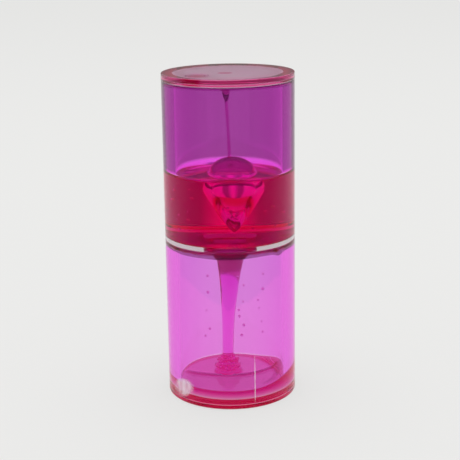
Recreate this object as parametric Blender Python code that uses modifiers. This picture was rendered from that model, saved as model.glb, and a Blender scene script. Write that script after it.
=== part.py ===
"""A sealed sensory tube: two clear chambers joined by a disc with a hole, through which a
coloured ooze runs from the upper chamber into the lower one while air rises the other way.

Metres, +Z up. The origin is the centre of the base, and -Y is the side that is looked at.
"""

import math

import bmesh
import bpy
from mathutils import Vector

# Housing
TUBE_RADIUS = 0.030
WALL = 0.005
LOWER_TUBE_LENGTH = 0.0702
UPPER_TUBE_LENGTH = 0.0702
FLANGE_THICKNESS = 0.002
SPIGOT_DEPTH = 0.0015
EDGE_CHAMFER = 0.0006
DIVIDER_THICKNESS = 0.002
ORIFICE_RADIUS = 0.0085
CEMENT_THICKNESS = 0.0003

# Filler plug in the top cap
PLUG_HEAD_RADIUS = 0.00515
PLUG_HEAD_DEPTH = 0.0018
PLUG_SHANK_RADIUS = 0.0036
PLUG_RIM_MARGIN = 0.00065
PLUG_BEARING = math.radians(223.7)

# Ooze in the upper chamber
UPPER_POOL_DEPTH = 0.0275
MENISCUS_RISE = 0.0022
MENISCUS_WIDTH = 0.0030
DOME_RADIUS = 0.0107
DOME_HEIGHT = 0.0072
DOME_FILM = 0.0008
BELLY_SWELL = 0.0004
BELLY_DEPTH = 0.0070
TAIL_CLEARANCE = 0.0020
TAIL_TAPER = 0.8
UPPER_FILM = 0.0006
CAP_FILLET = 0.0014

# Thread of ooze hanging from the top cap
THREAD_ROOT_RADIUS = 0.0029
THREAD_BLOB_RADIUS = 0.0018
THREAD_BLOB_LENGTH = 0.0078
THREAD_RADIUS = 0.0007
THREAD_ROOT_PLACE = Vector((-0.0012, -0.0028, 0.0))
THREAD_FOOT_PLACE = Vector((0.0004, 0.0, 0.0))

# Ooze in the lower chamber
LOWER_POOL_DEPTH = 0.0034
POOL_CLIMB = 0.0045
POOL_CLIMB_BEARING = 0.0
LOWER_FILM = 0.0005
DRIP_RING_DEPTH = 0.0026
DRIP_RING_WIDTH = 0.0065
STREAM_FOOT_RADIUS = 0.0026
STREAM_TAPER = 2.3
STREAM_LEAN = 0.0018
MOUND_RADIUS = 0.0066
MOUND_HEIGHT = 0.0080
MOUND_RIPPLES = 3
MOUND_RIPPLE_DEPTH = 0.0005

# Running gap between neighbouring solids
GAP = 0.0003

# Facets
HOUSING_SEGMENTS = 64
OOZE_SEGMENTS = 40
PLUG_SEGMENTS = 32
STREAM_SIDES_RESOLUTION = 8
THREAD_SIDES_RESOLUTION = 3
SHARP_ANGLE = math.radians(35)
MERGE_DISTANCE = 0.000001

# Levels of the stack, from the base up
BORE_RADIUS = TUBE_RADIUS - WALL
FILLED_RADIUS = BORE_RADIUS - GAP
JOINT = CEMENT_THICKNESS + 2 * GAP
LOWER_TUBE_BASE = FLANGE_THICKNESS + JOINT
LOWER_TUBE_TOP = LOWER_TUBE_BASE + LOWER_TUBE_LENGTH
DIVIDER_BASE = LOWER_TUBE_TOP + JOINT
DIVIDER_TOP = DIVIDER_BASE + DIVIDER_THICKNESS
UPPER_TUBE_BASE = DIVIDER_TOP + JOINT
UPPER_TUBE_TOP = UPPER_TUBE_BASE + UPPER_TUBE_LENGTH
TOP_FLANGE_BASE = UPPER_TUBE_TOP + JOINT
TOP_FACE = TOP_FLANGE_BASE + FLANGE_THICKNESS
TOP_CAP_UNDERSIDE = TOP_FLANGE_BASE - SPIGOT_DEPTH
BASE_CAP_UPSIDE = FLANGE_THICKNESS + SPIGOT_DEPTH
UPPER_POOL_BASE = DIVIDER_TOP + GAP
UPPER_LEVEL = UPPER_POOL_BASE + UPPER_POOL_DEPTH
LOWER_POOL_BASE = BASE_CAP_UPSIDE + GAP
LOWER_LEVEL = LOWER_POOL_BASE + LOWER_POOL_DEPTH
DOME_BASE = UPPER_LEVEL + GAP
DOME_TOP = DOME_BASE + DOME_HEIGHT
MOUND_BASE = LOWER_LEVEL + GAP
MOUND_TOP = MOUND_BASE + MOUND_HEIGHT


def clear_scene():
    """Removes whatever objects the file was opened with."""
    for obj in list(bpy.data.objects):
        bpy.data.objects.remove(obj, do_unlink=True)


def new_collection(name):
    collection = bpy.data.collections.new(name)
    bpy.context.scene.collection.children.link(collection)
    return collection


def clear_finish(name, colour, roughness, ior):
    """A see-through Principled material, coloured as it looks in the hand."""
    finish = bpy.data.materials.new(name)
    finish.use_nodes = True
    shader = finish.node_tree.nodes["Principled BSDF"]
    shader.inputs["Base Color"].default_value = (*colour, 1.0)
    shader.inputs["Metallic"].default_value = 0.0
    shader.inputs["Roughness"].default_value = roughness
    shader.inputs["IOR"].default_value = ior
    shader.inputs["Transmission Weight"].default_value = 1.0
    finish.diffuse_color = (*colour, 1.0)
    return finish


def new_object(name, data, finish, height=0.0):
    obj = bpy.data.objects.new(name, data)
    obj.location = (0.0, 0.0, height)
    obj.data.materials.append(finish)
    return obj


def settle(obj):
    """Gives the object its evaluated mesh in place of its modifiers, smooth with sharp corners."""
    bpy.context.view_layer.update()
    graph = bpy.context.evaluated_depsgraph_get()
    mesh = bpy.data.meshes.new_from_object(obj.evaluated_get(graph))
    mesh.name = obj.name
    obj.modifiers.clear()
    obj.data = mesh
    mesh.shade_smooth()
    mesh.set_sharp_from_angle(angle=SHARP_ANGLE)
    return obj


def turned(name, section, finish, group, height=0.0, segments=HOUSING_SEGMENTS):
    """Sweeps a half section round Z. Its points are (radius, height) and run down its outer side."""
    mesh = bpy.data.meshes.new(name)
    count = len(section)
    edges = [(index, index + 1) for index in range(count - 1)]
    ends_on_axis = section[0][0] == 0.0 and section[-1][0] == 0.0
    if not ends_on_axis:
        edges.append((count - 1, 0))
    mesh.from_pydata([(radius, 0.0, level) for radius, level in section], edges, [])
    obj = new_object(name, mesh, finish, height)
    group.objects.link(obj)
    screw = obj.modifiers.new("turn", "SCREW")
    screw.angle = 2 * math.pi
    screw.steps = segments
    screw.render_steps = segments
    screw.use_merge_vertices = True
    screw.merge_threshold = MERGE_DISTANCE
    return obj


def ring_section(outer, inner, low, high):
    """The section of a plain ring, down its outer side first."""
    return [(outer, high), (outer, low), (inner, low), (inner, high)]


def swept(name, spine, radii, finish, group, sides_resolution):
    """A round rope of ooze along the spine's points, with its own radius at each."""
    curve = bpy.data.curves.new(name, "CURVE")
    curve.dimensions = "3D"
    curve.bevel_depth = 1.0
    curve.bevel_resolution = sides_resolution
    curve.use_fill_caps = True
    spline = curve.splines.new("POLY")
    spline.points.add(len(spine) - 1)
    for point, place, radius in zip(spline.points, spine, radii):
        point.co = (*place, 1.0)
        point.radius = radius
    spline.use_smooth = True
    obj = new_object(name, curve, finish)
    group.objects.link(obj)
    return obj


def steps(count):
    """Even shares from 0 to 1, both included."""
    return [index / count for index in range(count + 1)]


def cap_section():
    """A cap's half section with its flange face at the top and its spigot below, from its flange's base."""
    spigot = BORE_RADIUS - GAP
    return [
        (0.0, FLANGE_THICKNESS),
        (TUBE_RADIUS - EDGE_CHAMFER, FLANGE_THICKNESS),
        (TUBE_RADIUS, FLANGE_THICKNESS - EDGE_CHAMFER),
        (TUBE_RADIUS, 0.0),
        (spigot, 0.0),
        (spigot, -SPIGOT_DEPTH),
        (0.0, -SPIGOT_DEPTH),
    ]


def plug_place():
    """The plug's axis, just inside the spigot's rim."""
    spigot = BORE_RADIUS - GAP
    offset = spigot - PLUG_RIM_MARGIN - PLUG_HEAD_RADIUS - GAP
    return Vector((offset * math.cos(PLUG_BEARING), offset * math.sin(PLUG_BEARING), 0.0))


def plug_section(clearance, above, below):
    """The stepped plug from its head's top, grown by a clearance, or run past both faces to cut with."""
    head = PLUG_HEAD_RADIUS + clearance
    shank = PLUG_SHANK_RADIUS + clearance
    shoulder = -PLUG_HEAD_DEPTH - clearance
    foot = -FLANGE_THICKNESS - SPIGOT_DEPTH - below
    return [(0.0, above), (head, above), (head, shoulder), (shank, shoulder), (shank, foot), (0.0, foot)]


def make_top_cap(parts, cutters, acrylic):
    """The clear lid: a flange on the tube's end, a spigot in its bore and a stepped hole for the plug."""
    cap = turned("top_cap", cap_section(), acrylic, parts, TOP_FLANGE_BASE)
    past_face = FLANGE_THICKNESS
    section = plug_section(GAP, past_face, past_face)
    cutter = turned("plug_hole_cutter", section, acrylic, cutters, TOP_FACE, PLUG_SEGMENTS)
    cutter.location = cutter.location + plug_place()
    settle(cutter)
    cutter.hide_render = True
    cutter.display_type = "WIRE"
    cut = cap.modifiers.new("plug hole", "BOOLEAN")
    cut.operation = "DIFFERENCE"
    cut.object = cutter
    return settle(cap)


def make_filler_plug(parts, plug_acrylic):
    """The round plug that closes the filling hole, flush with the lid."""
    plug = turned("filler_plug", plug_section(0.0, 0.0, 0.0), plug_acrylic, parts, TOP_FACE, PLUG_SEGMENTS)
    plug.location = plug.location + plug_place()
    return settle(plug)


def make_base_cap(parts, acrylic):
    """The same cap as the lid, turned over and without a hole."""
    section = [(radius, FLANGE_THICKNESS - level) for radius, level in reversed(cap_section())]
    return settle(turned("base_cap", section, acrylic, parts))


def make_tube(parts, acrylic, name, base, length):
    """One chamber's wall, a length of clear tube."""
    section = ring_section(TUBE_RADIUS, BORE_RADIUS, 0.0, length)
    return settle(turned(name, section, acrylic, parts, base))


def make_divider(parts, acrylic):
    """The disc between the chambers, with the hole that the ooze runs through."""
    section = ring_section(TUBE_RADIUS, ORIFICE_RADIUS, 0.0, DIVIDER_THICKNESS)
    return settle(turned("divider_disc", section, acrylic, parts, DIVIDER_BASE))


def make_cement_rings(parts, cement):
    """The four cemented joints, each a thin ring between two faces."""
    section = ring_section(TUBE_RADIUS, BORE_RADIUS, 0.0, CEMENT_THICKNESS)
    bases = {
        "base_cement_ring": FLANGE_THICKNESS,
        "divider_lower_cement_ring": LOWER_TUBE_TOP,
        "divider_upper_cement_ring": DIVIDER_TOP,
        "cap_cement_ring": UPPER_TUBE_TOP,
    }
    for name, face_below in bases.items():
        settle(turned(name, section, cement, parts, face_below + GAP))


def bubble_section():
    """The wall of the rising bubble, from the tip of its tail up to its mouth at the pool's surface."""
    mouth = DOME_RADIUS - DOME_FILM
    belly = mouth + BELLY_SWELL
    belly_level = UPPER_POOL_DEPTH - BELLY_DEPTH
    tail = []
    for share in steps(7):
        radius = belly * share**TAIL_TAPER
        tail.append((radius, TAIL_CLEARANCE + share * (belly_level - TAIL_CLEARANCE)))
    return tail + [(mouth, UPPER_POOL_DEPTH)]


def meniscus_section(level, rise):
    """The surface's last stretch as it curves up the wall, from the level part outwards."""
    start = FILLED_RADIUS - MENISCUS_WIDTH
    return [(start + share * MENISCUS_WIDTH, level + rise * share**2.5) for share in steps(4)]


def make_upper_pool(parts, ooze):
    """The ooze waiting above the divider, open where the bubble has pushed a cone through it."""
    surface = meniscus_section(UPPER_POOL_DEPTH, MENISCUS_RISE)
    section = bubble_section() + surface + [(FILLED_RADIUS, 0.0), (0.0, 0.0)]
    pool = turned("upper_ooze_pool", section, ooze, parts, UPPER_POOL_BASE, OOZE_SEGMENTS)
    return settle(pool)


def dome_arc(radius, height, count):
    """A dome's outline from its top down to its foot."""
    quarter = math.pi / 2
    return [(radius * math.sin(share * quarter), height * math.cos(share * quarter)) for share in steps(count)]


def make_dome(parts, ooze):
    """The skin of ooze that the bubble lifts above the surface."""
    outer = dome_arc(DOME_RADIUS, DOME_HEIGHT, 7)
    inner = dome_arc(DOME_RADIUS - DOME_FILM, DOME_HEIGHT - DOME_FILM, 7)
    section = outer[:-1] + [(DOME_RADIUS, 0.0), (DOME_RADIUS - DOME_FILM, 0.0)] + inner[-2::-1]
    section[0] = (0.0, DOME_HEIGHT)
    section[-1] = (0.0, DOME_HEIGHT - DOME_FILM)
    return settle(turned("bubble_dome", section, ooze, parts, DOME_BASE, OOZE_SEGMENTS))


def make_thread(parts, ooze):
    """The last of the ooze hanging from the lid: a blob, then a thin thread down to the dome."""
    top = TOP_CAP_UNDERSIDE - GAP
    foot = DOME_TOP + GAP
    blob_end = top - THREAD_BLOB_LENGTH
    levels = [top - THREAD_BLOB_LENGTH * share for share in steps(6)]
    radii = [THREAD_BLOB_RADIUS + (THREAD_ROOT_RADIUS - THREAD_BLOB_RADIUS) * (1 - share) ** 3 for share in steps(6)]
    radii[-1] = THREAD_RADIUS
    for share in steps(6)[1:]:
        levels.append(blob_end + (foot - blob_end) * share)
        radii.append(THREAD_RADIUS)
    spine = []
    for level in levels:
        share = (top - level) / (top - foot)
        place = THREAD_ROOT_PLACE.lerp(THREAD_FOOT_PLACE, share)
        spine.append((place.x, place.y, level))
    return swept("hanging_thread", spine, radii, ooze, parts, THREAD_SIDES_RESOLUTION)


def make_stream(parts, ooze):
    """The ooze that fills the divider's hole and falls from it, narrowing and drifting on its way."""
    neck = ORIFICE_RADIUS - GAP
    foot = MOUND_TOP + GAP
    levels = [DIVIDER_TOP, DIVIDER_BASE]
    radii = [neck, neck]
    spine = [(0.0, 0.0, level) for level in levels]
    for share in steps(12)[1:]:
        eased = share**1.5
        radii.append(STREAM_FOOT_RADIUS + (neck - STREAM_FOOT_RADIUS) * (1 - eased) ** STREAM_TAPER)
        spine.append((-STREAM_LEAN * eased, 0.0, DIVIDER_BASE + (foot - DIVIDER_BASE) * eased))
    return swept("ooze_stream", spine, radii, ooze, parts, STREAM_SIDES_RESOLUTION)


def make_mound(parts, ooze):
    """The pile that the stream folds itself into where it lands, with a ridge for each turn."""
    section = []
    for share in steps(5 * MOUND_RIPPLES):
        ripple = MOUND_RIPPLE_DEPTH * math.cos(2 * math.pi * MOUND_RIPPLES * share)
        radius = STREAM_FOOT_RADIUS + (MOUND_RADIUS - STREAM_FOOT_RADIUS) * math.sqrt(share) + ripple
        section.append((radius, MOUND_HEIGHT * (1 - share)))
    section = [(0.0, MOUND_HEIGHT)] + section + [(0.0, 0.0)]
    mound = turned("landing_mound", section, ooze, parts, MOUND_BASE, OOZE_SEGMENTS)
    mound.location.x = -STREAM_LEAN
    return settle(mound)


def wall_climb(place):
    """How far the ooze has climbed the wall at this bearing."""
    bearing = math.atan2(place.y, place.x) - POOL_CLIMB_BEARING
    return POOL_CLIMB * max(0.0, math.cos(bearing)) ** 4


def lifted(obj, low, high):
    """Raises the turned mesh's points up the wall, by all of the climb at one level and none at the other."""
    mesh = bmesh.new()
    mesh.from_mesh(obj.data)
    for point in mesh.verts:
        share = (point.co.z - low) / (high - low)
        if math.hypot(point.co.x, point.co.y) > FILLED_RADIUS - MENISCUS_WIDTH:
            point.co.z += wall_climb(point.co) * min(1.0, max(0.0, share))
    mesh.to_mesh(obj.data)
    mesh.free()
    return obj


def make_lower_pool(parts, ooze):
    """The ooze that has landed, level in the middle and drawn up the wall on one side."""
    surface = meniscus_section(LOWER_POOL_DEPTH, MENISCUS_RISE)
    section = [(0.0, LOWER_POOL_DEPTH)] + surface + [(FILLED_RADIUS, 0.0), (0.0, 0.0)]
    pool = settle(turned("lower_ooze_pool", section, ooze, parts, LOWER_POOL_BASE))
    return lifted(pool, LOWER_POOL_DEPTH, LOWER_POOL_DEPTH + MENISCUS_RISE)


def make_upper_film(parts, film):
    """The film left on the upper chamber's wall, thick where it meets the lid."""
    low = UPPER_LEVEL + MENISCUS_RISE + GAP
    height = TOP_CAP_UNDERSIDE - GAP - low
    inner = FILLED_RADIUS - UPPER_FILM
    section = [
        (FILLED_RADIUS, height),
        (FILLED_RADIUS, 0.0),
        (inner, 0.0),
        (inner, height - CAP_FILLET),
        (inner - CAP_FILLET, height),
    ]
    return settle(turned("upper_wall_film", section, film, parts, low))


def make_lower_film(parts, film):
    """The film left on the lower chamber's wall, from the pool's rim up to the drip ring."""
    low = LOWER_LEVEL + MENISCUS_RISE + GAP
    high = DIVIDER_BASE - GAP - DRIP_RING_DEPTH - GAP
    section = ring_section(FILLED_RADIUS, FILLED_RADIUS - LOWER_FILM, 0.0, high - low)
    sleeve = settle(turned("lower_wall_film", section, film, parts, low))
    return lifted(sleeve, high - low, 0.0)


def make_drip_ring(parts, film):
    """The ooze that clings in the corner under the divider."""
    section = [(FILLED_RADIUS, DRIP_RING_DEPTH), (FILLED_RADIUS, 0.0)]
    for share in steps(4):
        drop = DRIP_RING_DEPTH * (1 - share) ** 2
        section.append((FILLED_RADIUS - LOWER_FILM - share * DRIP_RING_WIDTH, DRIP_RING_DEPTH - drop))
    base = DIVIDER_BASE - GAP - DRIP_RING_DEPTH
    return settle(turned("divider_drip_ring", section, film, parts, base))


def main():
    clear_scene()
    parts = new_collection("sensory_tube")
    cutters = new_collection("cutters")
    acrylic = clear_finish("clear_acrylic", (0.93, 0.94, 0.94), 0.03, 1.49)
    plug_acrylic = clear_finish("plug_acrylic", (0.68, 0.30, 0.45), 0.08, 1.49)
    cement = clear_finish("cement", (0.55, 0.05, 0.20), 0.15, 1.48)
    ooze = clear_finish("magenta_ooze", (0.62, 0.01, 0.16), 0.02, 1.43)
    film = clear_finish("ooze_film", (0.85, 0.30, 0.72), 0.02, 1.43)
    make_top_cap(parts, cutters, acrylic)
    make_filler_plug(parts, plug_acrylic)
    make_base_cap(parts, acrylic)
    make_tube(parts, acrylic, "lower_tube", LOWER_TUBE_BASE, LOWER_TUBE_LENGTH)
    make_tube(parts, acrylic, "upper_tube", UPPER_TUBE_BASE, UPPER_TUBE_LENGTH)
    make_divider(parts, acrylic)
    make_cement_rings(parts, cement)
    make_upper_pool(parts, ooze)
    make_dome(parts, ooze)
    make_thread(parts, ooze)
    make_stream(parts, ooze)
    make_mound(parts, ooze)
    make_lower_pool(parts, ooze)
    make_upper_film(parts, film)
    make_lower_film(parts, film)
    make_drip_ring(parts, film)
    holder = bpy.data.objects.new("sensory_tube_origin", None)
    parts.objects.link(holder)
    for obj in parts.objects:
        if obj is not holder:
            obj.parent = holder


main()
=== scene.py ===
"""The looks of a sealed sensory tube: clear acrylic, magenta ooze caught as it runs, and the studio.

Each sub-assembly is a class. Its sizes are metres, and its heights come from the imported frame, with +Z up
and -Y towards the viewer. Where two things touch, one of the two faces bends the light for both, so every
face is marked as free or joined: free faces bend light fully, the acrylic's joined faces hardly, and the
ooze's not at all. A face that is hung with drops lies between the two: it lets light out at every angle.
"""

import logging
import math
import random
from dataclasses import dataclass, field
from enum import Enum
from typing import Any, Callable, Iterable, Mapping, Sequence

import bmesh
import bpy
from mathutils import Matrix, Vector, noise


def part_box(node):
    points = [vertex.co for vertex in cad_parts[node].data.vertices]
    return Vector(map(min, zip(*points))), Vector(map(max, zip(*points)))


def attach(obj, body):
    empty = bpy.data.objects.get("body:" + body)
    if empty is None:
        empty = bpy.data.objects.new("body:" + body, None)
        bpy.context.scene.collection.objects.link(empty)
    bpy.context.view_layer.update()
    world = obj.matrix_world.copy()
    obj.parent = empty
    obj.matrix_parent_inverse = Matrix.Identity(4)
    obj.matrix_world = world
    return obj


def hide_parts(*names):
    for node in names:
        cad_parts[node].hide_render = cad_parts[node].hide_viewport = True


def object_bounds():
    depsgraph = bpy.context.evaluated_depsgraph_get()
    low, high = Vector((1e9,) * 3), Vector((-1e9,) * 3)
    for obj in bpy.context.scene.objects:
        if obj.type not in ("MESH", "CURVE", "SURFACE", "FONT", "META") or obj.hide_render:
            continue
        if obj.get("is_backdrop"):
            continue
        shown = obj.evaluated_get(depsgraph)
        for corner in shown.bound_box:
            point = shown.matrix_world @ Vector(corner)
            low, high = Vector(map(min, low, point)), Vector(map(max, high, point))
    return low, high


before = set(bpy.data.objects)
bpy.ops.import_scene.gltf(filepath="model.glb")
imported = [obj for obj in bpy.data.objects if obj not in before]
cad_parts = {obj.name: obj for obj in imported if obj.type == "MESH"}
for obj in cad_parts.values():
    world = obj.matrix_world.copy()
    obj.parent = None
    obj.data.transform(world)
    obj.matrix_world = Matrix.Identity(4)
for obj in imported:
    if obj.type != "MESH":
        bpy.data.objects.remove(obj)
CAD_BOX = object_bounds()

LOG = logging.getLogger("sensory_tube")
SKIN = "skin"
SHADE = "shade"
BODY = "root"
UP = Vector((0.0, 0.0, 1.0))
ORIGIN = Vector((0.0, 0.0, 0.0))

# Facets round the axis, the distance at which points merge, and the angle from which an edge is sharp
ROUND = 192
MERGE = 1e-7
SHARP = math.radians(32)

# Clearance between touching pieces, which light crosses straight
TOUCH = 0.00002

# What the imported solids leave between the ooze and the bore, and the thickness of the caps' flanges
WETTED_GAP = 0.0003
FLANGE = 0.002

# How far down a point or face still counts as part of a liquid's surface
SURFACE = 0.001

# Refractive indices
ACRYLIC = 1.49
OOZE = 1.43

Point = tuple[float, float]
Colour = tuple[float, float, float]
Solid = bmesh.types.BMesh
Finish = bpy.types.Material
Socket = bpy.types.NodeSocket
Inputs = Mapping[str | int, Any]
Rule = Callable[[Vector], Vector]
Shading = Callable[[Vector], float]


# What surfaces meet, and what they are made of
class Meets(Enum):
    """What part of a surface touches. The value marks its faces: 1 is free, 0 is joined, or between."""

    AIR = 1.0
    DROPS = 0.35
    WET = 0.0


class Slot(Enum):
    """The record's material slots."""

    ACRYLIC = "clear_acrylic"
    PLUG = "plug_acrylic"
    CEMENT = "cement"
    OOZE = "magenta_ooze"
    FILM = "ooze_film"


@dataclass(frozen=True)
class Stretch:
    """Part of a half section: points of radius and height, and what that part of the surface meets."""

    points: Sequence[Point]
    meets: Meets = Meets.AIR


# Shapes
def free(*points: Point) -> Stretch:
    """A stretch of surface that meets the air."""
    return Stretch(points)


def wet(*points: Point) -> Stretch:
    """A stretch of surface that touches another piece."""
    return Stretch(points, Meets.WET)


def capped(side: Sequence[Point]) -> list[Stretch]:
    """The section of a solid with a free side, and flat ends that touch other pieces."""
    return [wet((0.0, side[0][1]), side[0]), free(*side), wet(side[-1], (0.0, side[-1][1]))]


def spot(x: float, y: float, z: float = 0.0) -> Any:
    """A dataclass field that holds a place."""
    return field(default_factory=lambda: Vector((x, y, z)))


def steps(count: int) -> list[float]:
    """Even shares from 0 to 1, both included."""
    return [index / count for index in range(count + 1)]


def ramp(value: float, start: float, end: float) -> float:
    """How far a value has come from start to end: 0 up to start, 1 past end, and level at both.

    Args:
        value: The value.
        start: Where the ramp starts.
        end: Where it ends, on either side of the start.

    Returns:
        The share.
    """
    held = min(1.0, max(0.0, (value - start) / (end - start)))
    return held * held * (3 - 2 * held)


def polar(reach: float, bearing: float, height: float = 0.0) -> Vector:
    """The place at a distance from the axis, a bearing and a height."""
    return Vector((reach * math.cos(bearing), reach * math.sin(bearing), height))


def line(start: Point, end: Point, count: int) -> list[Point]:
    """Points evenly along a straight line, with both ends."""
    return [tuple(a + (b - a) * share for a, b in zip(start, end)) for share in steps(count)]


def arch(width: float, level: float, height: float, count: int, start: float = 0.0) -> list[Point]:
    """A quarter of an ellipse, from its side up to the axis.

    Args:
        width: How wide the ellipse is from the axis.
        level: The level of its centre.
        height: How high it rises over that.
        count: The number of straight pieces.
        start: The angle that the curve starts from.

    Returns:
        The curve's points, with both ends.
    """
    angles = [start + (math.pi / 2 - start) * share for share in steps(count)]
    points = [(width * math.cos(angle), level + height * math.sin(angle)) for angle in angles]
    return [*points[:-1], (0.0, level + height)]


def corner(start: Point, bend: Point, end: Point, count: int = 10) -> list[Point]:
    """A round corner that leaves start towards bend and reaches end from it.

    Args:
        start: The first point.
        bend: The corner that the curve rounds off.
        end: The last point.
        count: The number of straight pieces.

    Returns:
        The curve's points, with both ends.
    """
    points = []
    for share in steps(count):
        near, middle, far = (1 - share) ** 2, 2 * share * (1 - share), share**2
        points.append(tuple(near * a + middle * b + far * c for a, b, c in zip(start, bend, end)))
    return points


def turned(section: Sequence[Stretch], around: int = ROUND) -> Solid:
    """Spins a closed half section round Z.

    Args:
        section: Stretches that follow each other round the section.
        around: The number of facets round the axis.

    Returns:
        A closed solid with its faces pointing out, each marked with what it meets.
    """
    solid = bmesh.new()
    skin = solid.faces.layers.float.new(SKIN)
    for stretch in section:
        known = set(solid.faces)
        line = [solid.verts.new((radius, 0.0, height)) for radius, height in stretch.points]
        edges = [solid.edges.new(ends) for ends in zip(line, line[1:])]
        bmesh.ops.spin(
            solid, geom=line + edges, cent=ORIGIN, axis=UP, angle=math.tau, steps=around, use_merge=True
        )
        for face in solid.faces:
            if face not in known:
                face[skin] = stretch.meets.value
    bmesh.ops.remove_doubles(solid, verts=solid.verts, dist=MERGE)
    bmesh.ops.recalc_face_normals(solid, faces=solid.faces)
    return solid


def ball(radius: float, place: Vector, stretch: Vector = Vector((1.0, 1.0, 1.0))) -> Solid:
    """A small closed drop or bubble with a free surface.

    Args:
        radius: Its radius before it is stretched.
        place: Its centre.
        stretch: How much longer it is along each axis.

    Returns:
        The ball as a mesh.
    """
    drop = bmesh.new()
    skin = drop.faces.layers.float.new(SKIN)
    bmesh.ops.create_icosphere(drop, subdivisions=2, radius=radius)
    bmesh.ops.scale(drop, vec=stretch, verts=drop.verts)
    bmesh.ops.translate(drop, vec=place, verts=drop.verts)
    for face in drop.faces:
        face[skin] = Meets.AIR.value
    return drop


def claimed(place: Vector, taken: list[Vector], gap: float) -> bool:
    """Adds a place to those taken if it keeps a gap from each of them.

    Args:
        place: The place.
        taken: The places taken so far.
        gap: The least distance between two.

    Returns:
        Whether it was added.
    """
    if any((place - other).length <= gap for other in taken):
        return False
    taken.append(place)
    return True


def moved(solid: Solid, rule: Rule) -> Solid:
    """Moves every point of a mesh.

    Args:
        solid: The mesh.
        rule: Where a point goes.

    Returns:
        The mesh.
    """
    for point in solid.verts:
        point.co = rule(point.co.copy())
    return solid


def added(solid: Solid, other: Solid) -> Solid:
    """Puts another mesh's faces into a solid.

    Args:
        solid: The solid.
        other: The other mesh, which is freed.

    Returns:
        The solid.
    """
    holder = bpy.data.meshes.new("holder")
    other.to_mesh(holder)
    other.free()
    solid.from_mesh(holder)
    bpy.data.meshes.remove(holder)
    return solid


def hollowed(solid: Solid, void: Solid) -> Solid:
    """Leaves a closed void inside a solid: the void's faces turn to point into it."""
    bmesh.ops.reverse_faces(void, faces=void.faces)
    return added(solid, void)


def marked(solid: Solid, meets: Meets, where: Callable[[Vector], bool]) -> Solid:
    """Marks what some faces of a mesh meet.

    Args:
        solid: The mesh.
        meets: What they meet.
        where: Says of a face's centre whether the face is marked.

    Returns:
        The mesh.
    """
    skin = solid.faces.layers.float[SKIN]
    for face in solid.faces:
        if where(face.calc_center_median()):
            face[skin] = meets.value
    return solid


def shaded(solid: Solid, rule: Shading) -> Solid:
    """Marks how much each point of a mesh takes of its finish's shade.

    Args:
        solid: The mesh.
        rule: The share at a point, from 0 to 1.

    Returns:
        The mesh.
    """
    shade = solid.verts.layers.float.new(SHADE)
    for point in solid.verts:
        point[shade] = rule(point.co)
    return solid


# Objects
def joined_at(solid: Solid, place: Vector, radius: float, above: float) -> Solid:
    """Marks the faces round an upright axis and above a level as joined, and returns the mesh."""
    return marked(solid, Meets.WET, lambda c: c.z > above and (c - place).xy.length < radius)


def shown(name: str, data: bpy.types.ID) -> bpy.types.Object:
    """Puts a new object of some data into the scene.

    Args:
        name: The object's name.
        data: Its data.

    Returns:
        The object.
    """
    obj = bpy.data.objects.new(name, data)
    bpy.context.scene.collection.objects.link(obj)
    return obj


def drilled(solid: Solid, tool: Solid) -> Solid:
    """Cuts one closed mesh out of another.

    Args:
        solid: The mesh that is cut, which is freed.
        tool: The mesh that is cut out of it, which is freed.

    Returns:
        What is left, with every face marked as joined.
    """
    holders = []
    for mesh, name in ((solid, "drilled"), (tool, "tool")):
        data = bpy.data.meshes.new(name)
        mesh.to_mesh(data)
        mesh.free()
        holders.append(shown(name, data))
    cut = holders[0].modifiers.new("cut", "BOOLEAN")
    cut.object = holders[1]
    bpy.context.view_layer.update()
    graph = bpy.context.evaluated_depsgraph_get()
    left = bpy.data.meshes.new_from_object(holders[0].evaluated_get(graph))
    result = bmesh.new()
    result.from_mesh(left)
    for holder in holders:
        bpy.data.objects.remove(holder)
    bpy.data.meshes.remove(left)
    return marked(result, Meets.WET, lambda centre: True)


def piece(
    solid: Solid,
    name: str,
    finish: Finish,
    slot: Slot,
    stands_for: Iterable[str] = (),
) -> None:
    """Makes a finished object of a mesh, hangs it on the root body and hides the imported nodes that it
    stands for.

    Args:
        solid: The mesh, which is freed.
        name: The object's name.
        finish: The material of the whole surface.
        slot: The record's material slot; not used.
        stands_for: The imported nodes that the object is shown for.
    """
    mesh = bpy.data.meshes.new(name)
    solid.to_mesh(mesh)
    solid.free()
    mesh.materials.append(finish)
    mesh.shade_smooth()
    mesh.set_sharp_from_angle(angle=SHARP)
    obj = shown(name, mesh)
    flat = obj.modifiers.new("even normals", "WEIGHTED_NORMAL")
    flat.keep_sharp = True
    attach(obj, BODY)
    if stands_for:
        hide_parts(*stands_for)
    LOG.info("%s: %d faces", name, len(mesh.polygons))


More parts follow.
